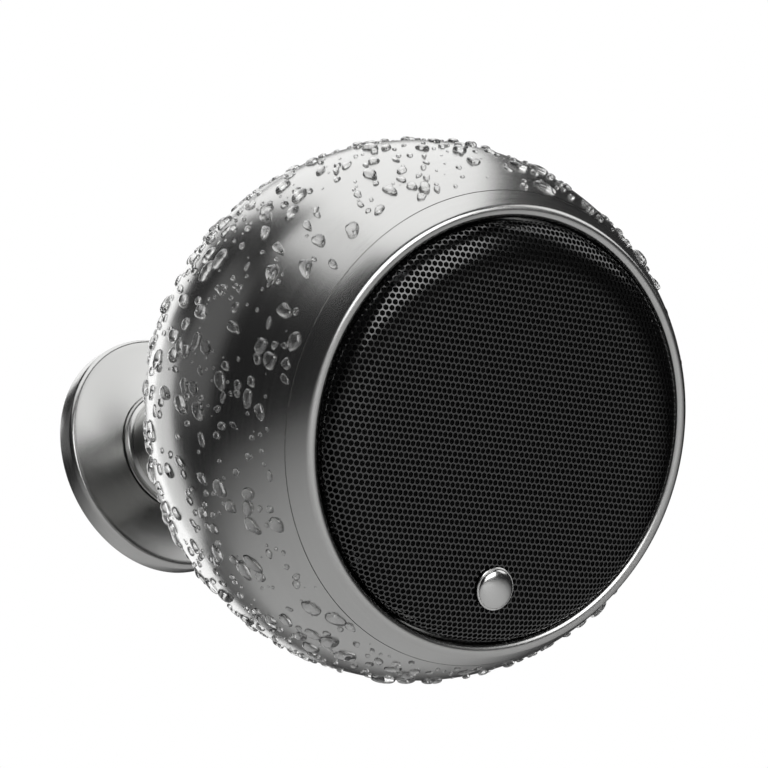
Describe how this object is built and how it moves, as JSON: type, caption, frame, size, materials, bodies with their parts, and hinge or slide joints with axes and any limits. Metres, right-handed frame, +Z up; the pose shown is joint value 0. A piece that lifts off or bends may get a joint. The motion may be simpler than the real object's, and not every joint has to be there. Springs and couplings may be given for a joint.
{
  "type": "shower speaker",
  "caption": "Spherical brushed-steel shower speaker with a black perforated grille, on a ball joint and a turned wall flange.",
  "frame": {"origin": "centre of the wall flange's flat back face, on the wall", "axes": "+Y into the wall, -Y out of it along the neck, +Z up"},
  "size_m": [0.1016, 0.1333, 0.1019],
  "materials": {
    "brushed_steel": "satin, brushed round the ball's axis",
    "polished_steel": "polished",
    "zinc_steel": "zinc plated",
    "black_mesh": "satin black, perforated",
    "black_plastic": "fine moulded",
    "rubber": "matte",
    "nylon": "natural",
    "ferrite": "sintered",
    "felt": "needled",
    "cone_paper": "coated paper",
    "spider_cloth": "resin-dipped cloth",
    "brass": "satin",
    "red_plastic": "moulded"
  },
  "bodies": {
    "mount": {"wall_flange": "brushed_steel", "wall_plate": "zinc_steel", "wall_screw_1": "zinc_steel", "wall_screw_2": "zinc_steel", "wall_screw_3": "zinc_steel", "neck": "brushed_steel", "grub_screw": "zinc_steel", "ball_stud": "polished_steel"},
    "seat": {"friction_seat": "nylon"},
    "socket": {"socket_cup": "zinc_steel", "socket_cap": "zinc_steel"},
    "speaker": {"rear_shell": "brushed_steel", "front_bezel": "brushed_steel", "body_seal": "rubber", "swivel_seal": "rubber", "socket_retainer": "zinc_steel", "retainer_screw_1": "zinc_steel", "retainer_screw_2": "zinc_steel", "retainer_screw_3": "zinc_steel", "driver_gasket": "rubber", "driver_basket": "black_plastic", "driver_screw_1": "zinc_steel", "driver_screw_2": "zinc_steel", "driver_screw_3": "zinc_steel", "driver_screw_4": "zinc_steel", "top_plate": "zinc_steel", "magnet": "ferrite", "back_plate": "zinc_steel", "damping_ring": "felt", "grille": "black_mesh", "grille_carrier": "black_plastic", "badge": "polished_steel", "terminal_cup": "black_plastic", "terminal_gasket": "rubber", "terminal_sleeve_red": "brass", "terminal_sleeve_black": "brass", "lead_red": "red_plastic", "lead_black": "black_plastic"},
    "diaphragm": {"cone": "cone_paper", "dust_cap": "cone_paper", "surround": "rubber", "spider": "spider_cloth", "voice_coil_former": "nylon"},
    "post_red": {"push_post_red": "red_plastic"},
    "post_black": {"push_post_black": "black_plastic"}
  },
  "joints": [
    {"name": "seat_turn", "type": "hinge", "parent": "mount", "child": "seat", "pos_m": [0, -0.052, 0], "axis": [0, -1, 0], "continuous": true},
    {"name": "ball_tilt", "type": "hinge", "parent": "seat", "child": "socket", "pos_m": [0, -0.052, 0], "axis": [0.9606, 0, -0.2778], "range_deg": [-60, 4]},
    {"name": "ball_spin", "type": "hinge", "parent": "socket", "child": "speaker", "pos_m": [0, -0.052, 0], "axis": [-0.1304, -0.883, -0.4509], "range_deg": [-170, 170]},
    {"name": "cone_slide", "type": "slide", "parent": "speaker", "child": "diaphragm", "axis": [-0.1304, -0.883, -0.4509], "range_m": [-0.002, 0.002], "stiffness_N_per_m": 800, "deforming": ["surround", "spider"]},
    {"name": "red_push", "type": "slide", "parent": "speaker", "child": "post_red", "axis": [-0.1299, -0.8799, 0.4571], "range_m": [0, 0.002], "stiffness_N_per_m": 400, "springref_m": -0.002},
    {"name": "black_push", "type": "slide", "parent": "speaker", "child": "post_black", "axis": [-0.1299, -0.8799, 0.4571], "range_m": [0, 0.002], "stiffness_N_per_m": 400, "springref_m": -0.002}
  ]
}
